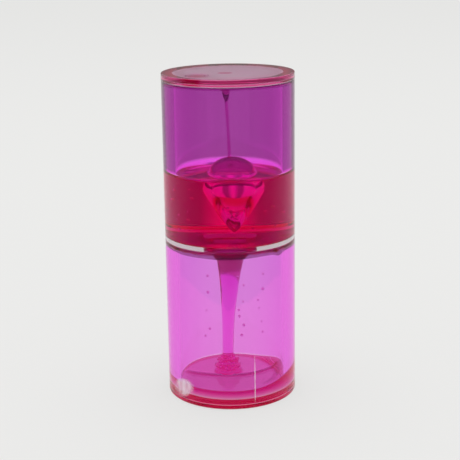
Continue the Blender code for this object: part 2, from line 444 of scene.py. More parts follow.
# Finishes
class Graph:
    """A node tree under construction, with short ways to add to it."""

    def __init__(self, owner: Finish | bpy.types.World) -> None:
        """Turns the owner's nodes on and keeps its tree."""
        owner.use_nodes = True
        self.nodes, self.links = owner.node_tree.nodes, owner.node_tree.links

    def feed(self, node: bpy.types.Node, inputs: Inputs) -> None:
        """Sets a node's inputs.

        Args:
            node: The node.
            inputs: The value of each, or another node's socket to link it to.
        """
        for name, value in inputs.items():
            if isinstance(value, Socket):
                self.links.new(value, node.inputs[name])
            else:
                node.inputs[name].default_value = value

    def add(self, kind: str, inputs: Inputs, result: str | int, **settings: Any) -> Socket:
        """Adds a node.

        Args:
            kind: The node's type, without its first word.
            inputs: Its inputs, as feed takes them.
            result: Which of its outputs is wanted.
            **settings: Its own settings.

        Returns:
            The output's socket.
        """
        node = self.nodes.new("ShaderNode" + kind)
        for name, value in settings.items():
            setattr(node, name, value)
        self.feed(node, inputs)
        return node.outputs[result]

    def mark(self, name: str) -> Socket:
        """One of the mesh's own marks."""
        return self.add("Attribute", {}, "Fac", attribute_name=name)

    def marked_sum(self, name: str, factor: float, constant: float) -> Socket:
        """A constant, plus a factor times one of the mesh's own marks."""
        return self.add("Math", {0: self.mark(name), 1: factor, 2: constant}, 0, operation="MULTIPLY_ADD")

    def grain(self, scale: Colour) -> Socket:
        """Soft noise in the object's own space, finest along the axes that are scaled most."""
        place = self.add("TexCoord", {}, "Object")
        drawn = self.add("Mapping", {"Vector": place, "Scale": scale}, "Vector")
        return self.add("TexNoise", {"Vector": drawn, "Scale": 1.0, "Detail": 2.0}, "Fac")

    def blend(self, share: Socket, first: Any, second: Any) -> Socket:
        """A colour between two.

        Args:
            share: How much of the second there is in it.
            first: The first, as a colour or a socket.
            second: The second, as a colour or a socket.

        Returns:
            The colour's socket.
        """
        ends = [end if isinstance(end, Socket) else (*end, 1.0) for end in (first, second)]
        return self.add("Mix", {"Factor": share, "A": ends[0], "B": ends[1]}, "Result", data_type="RGBA")

    def output(self, inputs: Inputs) -> None:
        """Feeds the material's output."""
        self.feed(self.nodes["Material Output"], inputs)


@dataclass(frozen=True)
class ClearFinish:
    """A clear, glossy material: what it bends, what it swallows, and how even it is.

    The colours are shares of light, and absorbs is per metre of path. The joined index is for faces that
    touch another piece, gleam is the share left of the mirror in its face, and milky is the share of light
    that it scatters where the mesh is marked for the shade.
    """

    name: str
    index: float
    absorbs: Colour = (0.0, 0.0, 0.0)
    joined_index: float = 1.0
    gleam: float = 1.0
    palest: Colour = (1.0, 1.0, 1.0)
    deepest: Colour = (0.97, 0.965, 0.97)
    grain: Colour = (60.0, 60.0, 60.0)
    ripple: float = 0.000008
    clear: float = 1.0
    shade: Colour | None = None
    milky: float = 0.0

    def material(self) -> Finish:
        """Builds the node material.

        Returns:
            The material.
        """
        finish = bpy.data.materials.new(self.name)
        graph = Graph(finish)
        shader = graph.nodes["Principled BSDF"]
        even = {"Roughness": 0.0, "Transmission Weight": self.clear, "IOR": self.index}
        graph.feed(shader, {**even, "Specular Tint": (self.gleam, self.gleam, self.gleam, 1.0)})
        pattern = graph.grain(self.grain)
        bump = {"Strength": 1.0, "Distance": self.ripple, "Height": pattern}
        normal = graph.add("Bump", bump, "Normal")
        bend = graph.marked_sum(SKIN, self.index - self.joined_index, self.joined_index)
        graph.feed(shader, {"IOR": bend, "Base Color": self.colour(graph, pattern), "Normal": normal})
        if self.milky > 0:
            graph.feed(shader, {"Transmission Weight": graph.marked_sum(SHADE, -self.milky, self.clear)})
        if max(self.absorbs) > 0:
            graph.output({"Volume": self.volume(graph)})
        return finish

    def colour(self, graph: Graph, pattern: Socket) -> Socket:
        """The tint, uneven by the pattern, and turned to the shade where the mesh is marked for it."""
        tint = graph.blend(pattern, self.palest, self.deepest)
        return tint if self.shade is None else graph.blend(graph.mark(SHADE), tint, self.shade)

    def volume(self, graph: Graph) -> Socket:
        """Beer's law: the density is the strongest absorption, and the colour keeps the others' shares."""
        density = max(self.absorbs)
        left = (*(1 - share / density for share in self.absorbs), 1.0)
        return graph.add("VolumeAbsorption", {"Density": density, "Color": left}, "Volume")


@dataclass(frozen=True)
class PaleStreakFinish:
    """Pale streaks with clear gaps between them, for crazed cement with a painted reflection and for a
    painted highlight.
    """

    name: str
    tint: Colour
    grain: Colour
    streaks: Point
    thickest: float = 0.8

    def material(self) -> Finish:
        """Builds the node material, which covers only where the mesh is marked for it.

        Returns:
            The material.
        """
        finish = bpy.data.materials.new(self.name)
        graph = Graph(finish)
        pattern = graph.grain(self.grain)
        streaks = {"From Min": self.streaks[0], "From Max": self.streaks[1], "To Max": self.thickest}
        cover = graph.add("MapRange", {"Value": pattern, **streaks}, "Result")
        share = graph.add("Math", {0: cover, 1: graph.mark(SHADE)}, 0, operation="MULTIPLY")
        pale = graph.nodes["Principled BSDF"]
        tint = graph.blend(pattern, self.tint, (1.0, 1.0, 1.0))
        graph.feed(pale, {"Roughness": 0.6, "Base Color": tint})
        gap = graph.add("BsdfTransparent", {}, "BSDF")
        sides = {"Fac": share, 1: gap, 2: pale.outputs["BSDF"]}
        graph.output({"Surface": graph.add("MixShader", sides, "Shader")})
        return finish


class Palette:
    """Every finish of the tube, built once."""

    def __init__(self) -> None:
        """Builds the materials."""
        acrylic, liquid = self.acrylic_finish, self.liquid_finish
        self.acrylic = acrylic("clear")
        # Painted shade: the upper wall's grey shade stands in for a darker background behind the upper
        # chamber.
        self.upper_acrylic_painted_shade = acrylic("upper", shade=(0.19, 0.19, 0.19))
        self.divider = acrylic("divider", (7.0, 10.0, 8.5))
        self.lid = acrylic("lid", (3.0, 48.0, 22.0), palest=(1.0, 0.98, 1.0), deepest=(1.0, 0.94, 0.98))
        self.base = acrylic("base", (11.0, 92.0, 50.0))
        self.plug = acrylic("plug", (20.0, 650.0, 180.0))
        self.cement = liquid("cement_stained", (150.0, 3000.0, 1500.0))
        self.cap_cement = liquid("cement_clear", (20.0, 160.0, 90.0))
        self.waiting = liquid(
            "ooze_waiting",
            (3.0, 140.0, 45.0),
            palest=(1.0, 0.35, 1.0),
            deepest=(0.97, 0.3, 0.97),
            shade=(1.0, 0.03, 0.6),
            milky=0.16,
        )
        # Painted shade: the landed ooze's shade darkens the lower pool's ridge and the surface in front of
        # it.
        self.landed = liquid(
            "ooze_landed", (3.0, 260.0, 58.0), deepest=(0.98, 0.92, 0.97), shade=(0.3, 0.06, 0.22)
        )
        # Painted shade: the falling stream's shade darkens its upper part.
        self.falling = liquid("ooze_falling", (4.0, 210.0, 27.0), shade=(0.48, 0.25, 0.24))
        self.thread = liquid("ooze_thread", (120.0, 900.0, 250.0))
        # Painted shade: the drip ring's shade darkens the front of its belly.
        self.drip = liquid("ooze_drip", (20.0, 420.0, 110.0), shade=(0.5, 0.25, 0.45))
        drained = (160.0, 160.0, 9.0)
        self.upper_film = liquid(
            "film_upper", (50.0, 2400.0, 150.0), deepest=(0.93, 0.9, 0.93), grain=drained
        )
        self.roof_film = liquid(
            "film_roof",
            (5.0, 30.0, 15.0),
            palest=(1.0, 0.95, 1.0),
            deepest=(1.0, 0.9, 0.98),
            clear=0.05,
            shade=(0.9, 0.4, 0.6),
        )
        self.lower_film = liquid(
            "film_lower",
            (34.0, 1500.0, 105.0),
            deepest=(0.97, 0.94, 0.97),
            grain=drained,
            shade=(0.82, 0.9, 0.92),
        )
        # Crazed cement streaks on the lower wall, partly a painted reflection of the dry joint's air
        # pockets.
        crazed_and_reflection = PaleStreakFinish("acrylic_crazed_and_reflection", (1.0, 0.84, 0.97), (260.0, 260.0, 90.0), (0.2, 0.8))
        self.crazed_and_reflection = crazed_and_reflection.material()
        # Painted highlight: a pale streak for a thin bright line of light on the lower wall.
        highlight_streak = PaleStreakFinish("acrylic_painted_highlight", (1.0, 0.9, 1.0), (60.0, 60.0, 160.0), (0.2, 0.5))
        self.highlight_streak = highlight_streak.material()

    @staticmethod
    def acrylic_finish(kind: str, absorbs: Colour = (0.0, 0.0, 0.0), **looks: Any) -> Finish:
        """Polished acrylic with little mirror in its face. Its joined faces touch ooze or cement."""
        finish = ClearFinish("acrylic_" + kind, ACRYLIC, absorbs, ACRYLIC / OOZE, gleam=0.1, **looks)
        return finish.material()

    @staticmethod
    def liquid_finish(name: str, absorbs: Colour, **looks: Any) -> Finish:
        """Ooze, or cement that bends light as the ooze does."""
        return ClearFinish(name, OOZE, absorbs, **looks).material()


# The housing
@dataclass(frozen=True)
class Stack:
    """The housing's radii, and its levels from the base up."""

    outer: float
    bore: float
    base_upside: float
    base_joint: float
    divider_base: float
    divider_top: float
    cap_joint: float
    lid_underside: float
    top: float
    orifice: float = 0.0085
    bond: float = 0.0003

    @classmethod
    def from_frame(cls) -> "Stack":
        """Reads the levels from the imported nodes.

        Returns:
            The stack.
        """
        low_base, high_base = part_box("base_cap")
        low_divider, high_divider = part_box("divider_disc")
        low_cap, high_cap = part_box("top_cap")
        return cls(
            outer=high_base.x,
            bore=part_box("upper_ooze_pool")[1].x + WETTED_GAP,
            base_upside=high_base.z,
            base_joint=low_base.z + FLANGE,
            divider_base=low_divider.z,
            divider_top=high_divider.z,
            cap_joint=high_cap.z - FLANGE,
            lid_underside=low_cap.z,
            top=high_cap.z,
        )

    @property
    def filled(self) -> float:
        """The radius of whatever fills the bore."""
        return self.bore - TOUCH


@dataclass
class Housing:
    """The acrylic: two chambers' walls, the divider, the base, the lid with its plug, and their joints.

    The pairs named dim and band say where the painted shade of a dim background starts on the upper wall
    and
    where it is full: its height over the pool's shore, its depth behind the axis, and its distance to
    either side.
    """

    stack: Stack
    palette: Palette
    rim_round: float = 0.0006
    seat_round: float = 0.00006
    head_radius: float = 0.00515
    head_depth: float = 0.0018
    shank_radius: float = 0.0036
    plug_inset: float = 0.00065
    plug_bearing: float = math.radians(223.7)
    drill_past: float = 0.001
    shore_height: float = 0.0293
    dim_height: Point = (0.0, 0.0008)
    dim_depth: Point = (-0.0112, -0.0105)
    band_height: Point = (-0.003, -0.005)
    band_depth: Point = (0.0, 0.004)
    band_outside: Point = (0.014, 0.01)
    band_inside: Point = (0.0005, 0.0065)
    dry_bearings: Point = (math.radians(178), math.radians(226))
    dry_lumps: float = 300.0
    dry_from: float = -0.35
    patch_heart: float = 0.6

    def dry(self, place: Vector) -> bool:
        """Whether the base joint is dry at a place: in one sector, the cement has left pockets of air.

        Args:
            place: The place.

        Returns:
            Whether it is dry.
        """
        flat = Vector((place.x, place.y, 0.0))
        in_ring = place.z < self.stack.base_upside and flat.length > self.stack.bore
        within = self.dry_bearings[0] < math.atan2(place.y, place.x) % math.tau < self.dry_bearings[1]
        return in_ring and within and noise.noise(flat * self.dry_lumps) > self.dry_from

    def seat(self, level: float) -> list[Point]:
        """The cemented face of the wall's end, from its rim in to the bore."""
        return line((self.stack.outer - self.seat_round, level), (self.stack.bore, level), 10)

    def painted_backdrop_shade(self, place: Vector) -> float:
        """Painted shade of a dim background on the upper wall's outer face: how much it takes, all of it at
        the back.

        The pool gathers the light that crosses it in two narrow bands, so only they take the painted shade
        below its surface.

        Args:
            place: A point of the wall.

        Returns:
            The share.
        """
        if place.xy.length < self.stack.outer - self.seat_round - TOUCH:
            return 0.0
        height, aside = place.z - self.stack.divider_top - self.shore_height, abs(place.x)
        above = ramp(height, *self.dim_height) * ramp(place.y, *self.dim_depth)
        bands = ramp(aside, *self.band_outside) * ramp(aside, *self.band_inside)
        return above + bands * ramp(height, *self.band_height) * ramp(place.y, *self.band_depth)

    def wall(self, chamber: str, low: float, high: float, finish: Finish, rings: int = 1) -> None:
        """One chamber's wall between two cemented faces.

        Args:
            chamber: The chamber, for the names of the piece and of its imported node.
            low: The level of its lower face.
            high: The level of its upper face.
            finish: Its material.
            rings: The number of rings of faces up its outside.
        """
        outer, bore, nick = self.stack.outer, self.stack.bore, self.seat_round
        side = line((outer, low + nick), (outer, high - nick), rings)
        foot = corner((outer - nick, low), (outer, low), (outer, low + nick), 3)
        head = corner((outer, high - nick), (outer, high), (outer - nick, high), 3)
        section = [
            free(*foot[:-1], *side, *head[1:]),
            wet((outer - nick, high), (bore, high)),
            wet((bore, high), (bore, low)),
            wet(*self.seat(low)),
        ]
        # Marks the painted shade of a dim background. Only the upper wall's finish has a shade colour.
        solid = shaded(turned(section), self.painted_backdrop_shade)
        marked(solid, Meets.AIR, self.dry)
        piece(solid, chamber + "_wall", finish, Slot.ACRYLIC, [chamber + "_tube"])

    def divider(self) -> None:
        """The disc between the chambers, with the hole that the ooze runs through."""
        outer, hole = self.stack.outer, self.stack.orifice
        low, high = self.stack.divider_base, self.stack.divider_top
        section = [free((outer, low), (outer, high)), wet((outer, high), (hole, high))]
        section += [wet((hole, high), (hole, low)), wet((hole, low), (outer, low))]
        piece(turned(section), "divider_plate", self.palette.divider, Slot.ACRYLIC, ["divider_disc"])

    def disc(self, face: float, joint: float, inside: float) -> Solid:
        """A cap's disc: a flange with a rounded rim, and a spigot that plugs the bore.

        Args:
            face: The level of its outer face.
            joint: The level of the flange's cemented face.
            inside: The level of the spigot's end.

        Returns:
            The disc as a mesh.
        """
        outer, seat, nick = self.stack.outer, self.stack.filled, self.rim_round
        rounded = face + math.copysign(nick, joint - face)
        rim = corner((outer - nick, face), (outer, face), (outer, rounded), 6)
        section = [
            free((0.0, face), *rim, (outer, joint)),
            wet((outer, joint), *self.seat(joint), (seat, joint)),
            wet((seat, joint), (seat, inside), (0.0, inside)),
        ]
        return turned(section)

    def plug_shape(self, grown: float, past: float) -> Solid:
        """The stepped plug in its place, just inside the spigot's rim.

        Args:
            grown: How much wider it is than the plug itself.
            past: How far it runs past both faces of the lid.

        Returns:
            The plug as a mesh.
        """
        top, foot = self.stack.top + past, self.stack.lid_underside - past
        shoulder = self.stack.top - self.head_depth - grown
        head, shank = self.head_radius + grown, self.shank_radius + grown
        side = wet((head, top), (head, shoulder), (shank, shoulder), (shank, foot), (0.0, foot))
        plug = turned([free((0.0, top), (head, top)), side], 96)
        offset = self.stack.bore - 2 * WETTED_GAP - self.plug_inset - self.head_radius
        bmesh.ops.translate(plug, vec=polar(offset, self.plug_bearing), verts=plug.verts)
        return plug

    def lid(self) -> None:
        """The top cap with its stepped hole, and the plug in it."""
        stack, palette = self.stack, self.palette
        body = self.disc(stack.top, stack.cap_joint, stack.lid_underside)
        lid = drilled(body, self.plug_shape(TOUCH, self.drill_past))
        joint, nick = stack.cap_joint + TOUCH, 0.99 * self.rim_round
        face, side = stack.top - nick, stack.outer - nick
        marked(lid, Meets.AIR, lambda c: c.z > face or (c.z > joint and c.xy.length > side))
        piece(lid, "lid_disc", palette.lid, Slot.ACRYLIC, ["top_cap"])
        piece(self.plug_shape(0.0, 0.0), "lid_plug", palette.plug, Slot.PLUG, ["filler_plug"])

    def bond(self, joint: str, low: float, finish: Finish) -> None:
        """One cemented joint, a thin ring between two faces.

        Args:
            joint: The joint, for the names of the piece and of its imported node.
            low: The level of its lower face.
            finish: Its material.
        """
        outer, bore = self.stack.outer - self.seat_round, self.stack.bore
        high = low + self.stack.bond
        inner = wet(*self.seat(high), (bore, low))
        ring = turned([free((outer, low), (outer, high)), inner, wet(*self.seat(low))])
        marked(ring, Meets.AIR, self.dry)
        piece(ring, joint + "_bond", finish, Slot.CEMENT, [joint + "_cement_ring"])

    def pale_patch(
        self, name: str, finish: Finish, bearings: Point, levels: Point, lean: float = 0.0
    ) -> None:
        """A thin pale patch on the lower wall, which fades towards its edges: the crazed patch with its
        painted reflection, and the painted highlight streak.

        Args:
            name: The piece's name.
            finish: Its material.
            bearings: The bearings that it lies between, in degrees.
            levels: The levels that it lies between.
            lean: How far its head lies to the right of its foot, as a share of its width.
        """
        patch = bmesh.new()
        bmesh.ops.create_grid(patch, x_segments=12, y_segments=30, size=0.5)
        shade = patch.verts.layers.float.new(SHADE)
        for point in patch.verts:
            across, up = point.co.x, point.co.y
            point[shade] = ramp(math.hypot(2 * (across - lean * up), 2 * up), 1.0, self.patch_heart)
            bearing = math.radians(bearings[0] + (bearings[1] - bearings[0]) * (across + 0.5))
            height = levels[0] + (levels[1] - levels[0]) * (up + 0.5)
            point.co = polar(self.stack.outer + 2 * TOUCH, bearing, height)
        bmesh.ops.recalc_face_normals(patch, faces=patch.faces)
        bmesh.ops.solidify(patch, geom=patch.faces[:], thickness=TOUCH)
        piece(patch, name, finish, Slot.CEMENT)

    def build(self) -> None:
        """Builds the housing from the base up, then the crazed patch with its painted reflection and the
        painted highlight streak on the lower wall.
        """
        stack, palette = self.stack, self.palette
        seat = stack.bond + 2 * TOUCH
        base = self.disc(0.0, stack.base_joint, stack.base_upside)
        marked(base, Meets.AIR, lambda c: abs(c.z - stack.base_joint) < TOUCH and self.dry(c))
        marked(base, Meets.WET, lambda c: c.z < TOUCH)
        piece(base, "base_disc", palette.base, Slot.ACRYLIC, ["base_cap"])
        self.bond("base", stack.base_joint + TOUCH, palette.cement)
        self.wall("lower", stack.base_joint + seat, stack.divider_base - seat, palette.acrylic)
        self.bond("divider_lower", stack.divider_base - TOUCH - stack.bond, palette.cement)
        self.divider()
        self.bond("divider_upper", stack.divider_top + TOUCH, palette.cement)
        self.wall("upper", stack.divider_top + seat, stack.cap_joint - seat, palette.upper_acrylic_painted_shade, 90)
        self.bond("cap", stack.cap_joint - TOUCH - stack.bond, palette.cap_cement)
        self.lid()
        # The crazed patch: streaky cement, partly a painted reflection of the dry joint.
        self.pale_patch("crazed_reflection_patch", palette.crazed_and_reflection, (206.0, 234.0), (0.0016, 0.0122), 0.35)
        # Painted highlight: a long pale streak on the lower wall.
        self.pale_patch("painted_highlight_streak", palette.highlight_streak, (289.7, 290.5), (0.0004, 0.027))


# The liquid
@dataclass
class Ooze:
    """The liquid: two pools, the bubble, the thread, the stream with its pile, and the films on the walls.

    A place is where a form's axis stands. A pair is where a change starts and where it is full, or the
    least and the greatest size.
    """

    stack: Stack
    palette: Palette
    film: float = 0.0004
    upper_depth: float = 0.028
    upper_rise: float = 0.0022
    upper_width: float = 0.0042
    dome_place: Vector = spot(0.0014, 0.0)
    dome_radius: float = 0.0107
    dome_height: float = 0.0073
    dome_foot: float = 0.0017
    dome_foot_rise: float = 0.0016
    dome_clearance: float = 0.004
    cloud_start: Point = (0.0, 0.2)
    cloud_thins: Point = (0.5, 0.9)
    cloud_thinned: float = 0.45
    void_mouth: float = 0.0078
    void_crown: float = 0.0036
    neck_widest: float = 0.0101
    neck_drop: float = 0.003
    belly_radius: float = 0.0098
    belly_drop: float = 0.0072
    tail_drop: float = 0.0262
    tail_taper: float = 0.8
    bubbles: int = 70
    bubble_gap: float = 0.0014
    bubble_sizes: Point = (0.0002, 0.0006)
    thread_root: Vector = spot(-0.0012, -0.0028)
    thread_foot: Vector = spot(0.0003, 0.0)
    thread_radius: float = 0.0007
    thread_waver: float = 0.12
    root_radius: float = 0.0029
    blob_radius: float = 0.0018
    blob_waist: float = 0.0022
    blob_length: float = 0.0078
    lid_fillet: float = 0.0016
    rim_tint: float = 0.3
    rim_deepens: Point = (0.75, 0.95)
    lower_level: float = 0.0072
    lower_rise: float = 0.0004
    lower_width: float = 0.0012
    climb: float = 0.0045
    climb_reach: float = 0.006
    pile_place: Vector = spot(-0.0018, 0.002)
    pile_radius: float = 0.0062
    pile_height: float = 0.0083
    pile_turns: int = 3
    pile_ripple: float = 0.0005
    pile_foot: float = 0.0009
    pile_skirt: float = 0.0006
    pile_lumps: float = 420.0
    pile_swell: float = 0.16
    pile_bubbles: int = 26
    pile_bubble_gap: float = 0.0017
    stream_foot: float = 0.0026
    stream_taper: float = 2.3
    stream_start: float = 0.0028
    stream_waver: float = 0.06
    crown_drop: float = 0.0225
    crown_scallop: float = 0.005
    crown_edge: float = 0.0015
    crown_spared: float = 0.35
    flare: float = 0.0105
    under_film: float = 0.00026
    drip_depth: float = 0.004
    drip_width: float = 0.0065
    drop_bearing: float = math.radians(-37)
    drop_depth: float = 0.0012
    drop_width: float = 0.1
    lump_depth: float = 0.0005
    lumps: float = 330.0
    ridge: float = 0.0014
    ridge_width: float = 0.0006
    ridge_place: float = -0.0056
    ridge_back: float = 0.003
    ridge_tint: float = 0.3
    curve_level: float = 0.031
    curve_rise: float = 0.023
    bead_runs: tuple[float, ...] = (-0.0103, 0.0042, 0.0122)
    bead_sizes: Point = (0.00035, 0.0006)
    bead_drop: float = 0.012
    bead_foot: float = 0.03

    @property
    def inside(self) -> float:
        """The radius of the film's own surface."""
        return self.stack.filled - self.film

    @property
    def upper_level(self) -> float:
        """The level of the upper pool's surface."""
        return self.stack.divider_top + self.upper_depth

    @property
    def dome_top(self) -> float:
        """The level of the bubble's top."""
        return self.upper_level + self.dome_height

    def shore(self, level: float, rise: float, width: float, floor: float) -> list[Stretch]:
        """A pool's section, from where its surface starts to curve up the wall to the middle of its floor.

        Args:
            level: The pool's level.
            rise: How far it climbs the wall.
            width: How far from the wall it starts to climb.
            floor: The level of its floor.

        Returns:
            The curve, then the ledge that the film stands on with the wall and floor.
        """
        inside, wall = self.inside, self.stack.filled
        curve = corner((inside - width, level), (inside, level), (inside, level + rise), 14)
        side = line((wall, level), (wall, floor), 8)
        return [free(*curve), wet(curve[-1], (wall, level + rise), *side, (inside, floor), (0.0, floor))]

    def bubble(self) -> Solid:
        """The air in the rising bubble: a dome above the surface and a tail that draws down to the hole.

        Returns:
            The air as a mesh, with its faces pointing out.
        """
        level, belly = self.upper_level, self.belly_radius
        widest, tip = level - self.belly_drop, level - self.tail_drop
        tail = [(belly * share**self.tail_taper, tip + share * (widest - tip)) for share in steps(16)]
        neck = corner(tail[-1], (self.neck_widest, level - self.neck_drop), (self.void_mouth, level), 8)
        top = arch(self.void_mouth, level, self.void_crown, 14)
        air = turned([free(*tail, *neck[1:], *top[1:])], 128)
        bmesh.ops.translate(air, vec=self.dome_place, verts=air.verts)
        return air

    def upper_pool(self) -> None:
        """The ooze above the divider, with the bubble's dome on it and all its bubbles inside."""
        level, floor, radius = self.upper_level, self.stack.divider_top + TOUCH, self.dome_radius
        start = math.asin(self.dome_foot_rise / self.dome_height)
        dome = arch(radius, level, self.dome_height, 16, start)[::-1]
        foot = corner(dome[-1], (radius, level), (radius + self.dome_foot, level), 8)
        shore = self.inside - self.upper_width
        surface = free(*dome, *foot[1:], (0.5 * (foot[-1][0] + shore), level), (shore, level))
        section = [surface, *self.shore(level, self.upper_rise, self.upper_width, floor)]

        def centred(place: Vector) -> Vector:
            """Carries the dome over to its own axis, and leaves the wall where it is."""
            share = ramp(place.xy.length, self.inside - self.dome_clearance, radius)
            return place + self.dome_place * (share if place.z > level - SURFACE else 0.0)

        def cloudy(place: Vector) -> float:
            """Clouds the dome with the finest bubbles, most of all round its foot."""
            if (place - self.dome_place).xy.length > radius + TOUCH:
                return 0.0
            lift = (place.z - level) / self.dome_height
            thinned = self.cloud_thinned * ramp(lift, *self.cloud_thins)
            return ramp(lift, *self.cloud_start) * (1 - thinned)

        pool = shaded(moved(turned(section), centred), cloudy)
        joined_at(pool, self.thread_foot, self.thread_radius, self.dome_top - SURFACE)
        hollowed(pool, self.bubble())
        for void in self.small_bubbles():
            hollowed(pool, void)
        piece(pool, "upper_ooze", self.palette.waiting, Slot.OOZE, ["upper_ooze_pool", "bubble_dome"])

    def small_bubbles(self) -> Iterable[Solid]:
        """Tiny bubbles scattered through the upper pool, clear of the big one and of each other.

        Yields:
            Each bubble as a mesh. Every other one lies at the front.
        """
        chance = random.Random(7)
        placed: list[Vector] = []
        while len(placed) < self.bubbles:
            at_front = len(placed) % 2
            bearing = chance.uniform(math.pi if at_front else 0, math.tau)
            reach = self.stack.filled * math.sqrt(chance.uniform(0.88 if at_front else 0.3, 0.94))
            lift = chance.uniform(0.002, self.upper_depth - 0.003)
            place = polar(reach, bearing, self.stack.divider_top + lift)
            if claimed(place, placed, self.bubble_gap):
                yield ball(chance.uniform(*self.bubble_sizes), place)

    def thread(self) -> None:
        """The last of the ooze: it hangs from the lid's film as a blob and a thread down to the bubble."""
        top = self.stack.lid_underside - self.film - 2 * TOUCH
        aside = (self.thread_foot - self.dome_place).length / self.dome_radius
        foot = self.upper_level + self.dome_height * math.sqrt(1 - aside**2) + TOUCH
        root, fine, wide = self.root_radius, self.thread_radius, self.blob_radius
        waist, blob_end = top - self.blob_waist, top - self.blob_length
        spread = corner((root, top), (wide, top), (wide, waist), 8)
        blob = corner((wide, waist), (wide, blob_end + 0.0015), (fine, blob_end - 0.001))
        start, waver = blob[-1][1], self.thread_waver
        drop = start - foot - 0.0005
        run = [(fine * (1 + waver * math.sin(9 * share)), start - drop * share) for share in steps(16)]
        flare = corner(run[-1], (fine, foot), (fine * 1.5, foot), 4)
        section = capped([*spread, *blob[1:], *run[1:], *flare[1:]])

        def hung(place: Vector) -> Vector:
            """Leans the thread from its root to its foot on the dome."""
            return place + self.thread_root.lerp(self.thread_foot, (top - place.z) / (top - foot))

        thread = moved(turned(section, 32), hung)
        piece(thread, "ooze_thread", self.palette.thread, Slot.OOZE, ["hanging_thread"])

    def roof_film(self) -> None:
        """The milky film under the lid, with the mark of the thread's root and a deeper rim."""
        roof = self.stack.lid_underside - TOUCH
        sheet, wall = roof - self.film, self.stack.filled
        edge, root, mark = self.inside - self.lid_fillet, self.thread_root, self.root_radius
        rings = [0.0, mark, 1.3 * mark, *(edge * share for share in (0.3, 0.5, 0.7, 0.8, 0.9, 1.0))]
        section = [
            free(*((radius, sheet) for radius in rings)),
            wet((edge, sheet), (wall, sheet), (wall, roof)),
            wet(*((radius, roof) for radius in (wall, *reversed(rings)))),
        ]

        def centred(place: Vector) -> Vector:
            """Carries the rings round the thread's root over to its axis."""
            return place + root * ramp(place.xy.length, 0.5 * edge, mark)

        def deeper(place: Vector) -> float:
            """Deepens the colour at the thread's root and towards the rim."""
            at_root = 1.0 if (place - root).xy.length < 1.1 * mark else 0.0
            return max(at_root, self.rim_tint * ramp(place.xy.length / edge, *self.rim_deepens))

        film = shaded(moved(turned(section), centred), deeper)
        joined_at(film, root, mark, 0.0)
        piece(film, "roof_film", self.palette.roof_film, Slot.FILM, ["upper_wall_film"])

    def upper_film(self) -> None:
        """The film on the upper chamber's wall, with the fillet that gathers under the lid."""
        low = self.upper_level + self.upper_rise + TOUCH
        top = self.stack.lid_underside - self.film - 2 * TOUCH
        inside, wall, fillet = self.inside, self.stack.filled, self.lid_fillet
        brim = inside - fillet
        section = [
            free(*corner((brim, top), (inside, top), (inside, top - fillet), 8)),
            free(*line((inside, top - fillet), (inside, low), 10)),
            wet((inside, low), (wall, low), (wall, top), (brim, top)),
        ]
        piece(turned(section), "upper_film", self.palette.upper_film, Slot.FILM)

    def wall_climb(self, place: Vector) -> float:
        """How far the lower ooze has climbed the wall at a place's bearing."""
        return self.climb * max(0.0, math.cos(math.atan2(place.y, place.x))) ** 4

    def drip(self, place: Vector) -> float:
        """How far the ooze under the divider sags at a place's bearing, with one gathered drop.

        Args:
            place: The place.

        Returns:
            The sag.
        """
        bearing = math.atan2(place.y, place.x)
        waves = 0.00022 * math.sin(3 * bearing + 0.6) + 0.00014 * math.sin(7 * bearing)
        off = math.remainder(bearing - self.drop_bearing, math.tau)
        return waves + self.drop_depth * math.exp(-((off / self.drop_width) ** 2))

    def stream(self) -> None:
        """The ooze in the divider's hole and on its way down, narrowing and leaning as it falls."""
        top, under = self.stack.divider_top, self.stack.divider_base - TOUCH
        neck, sheet, flare = self.stack.orifice - TOUCH, under - self.under_film, self.flare
        foot = self.lower_level + self.pile_height + 2 * TOUCH
        start = under - self.stream_start

        def girth(height: float) -> float:
            """The stream's radius at a height."""
            share = max(0.0, (height - foot) / (under - foot))
            return self.stream_foot + (neck - self.stream_foot) * share**self.stream_taper

        fall = [(girth(height), height) for _, height in line((0.0, start), (0.0, foot), 48)]
        lip = corner((flare, sheet), (girth(under), sheet), fall[0], 10)
        section = [
            wet((0.0, top), (neck, top), (neck, under), (flare, under), (flare, sheet)),
            free(*lip, *fall[1:]),
            wet(fall[-1], (0.0, foot)),
        ]

        def leant(place: Vector) -> Vector:
            """Lets the stream drift to its pile, with a slow waver on its skin."""
            share = ramp(place.z, under, foot) if place.z < start else 0.0
            waver = self.stream_waver * noise.noise(Vector((place.x * 220, place.y * 220, place.z * 60)))
            waver *= min(1.0, max(0.0, (start - place.z) / 0.01)) * min(1.0, (place.z - foot) / 0.004)
            wavered = Vector((place.x * (1 + waver), place.y * (1 + waver), place.z))
            return wavered + self.pile_place * share

        def painted_crown_shade(place: Vector) -> float:
            """Painted shade: darkens the stream's upper part down to a scalloped edge, and less in the
            divider's hole.
            """
            scallop = self.crown_scallop * abs(math.sin(math.atan2(place.y, place.x) + 0.4))
            edge = under - self.crown_drop + scallop
            spared = self.crown_spared * ramp(place.z, under, under + 0.001)
            return ramp(place.z, edge, edge + self.crown_edge) * (1 - spared)

        body = shaded(moved(turned(section, 96), leant), painted_crown_shade)
        piece(body, "falling_stream", self.palette.falling, Slot.OOZE, ["ooze_stream"])

    def pile_spread(self, share: float) -> float:
        """The pile's radius without its ridges, at a share of the way down it."""
        return self.stream_foot + (self.pile_radius - self.stream_foot) * math.sqrt(share)

    def pile(self) -> None:
        """The pile that the stream folds itself into, with a ridge for each turn and air caught in it."""
        level, height = self.lower_level + TOUCH, self.pile_height
        top = level + height
        side = []
        for share in steps(14 * self.pile_turns):
            ripple = self.pile_ripple * math.cos(math.tau * self.pile_turns * share) * min(1.0, 4 * share)
            side.append((self.pile_spread(share) + ripple, top - (height - self.pile_foot) * share))
        edge = side[-1][0]
        skirt = corner(side[-1], (edge, level), (edge + self.pile_skirt, level), 6)
        section = capped([*side, *skirt[1:]])

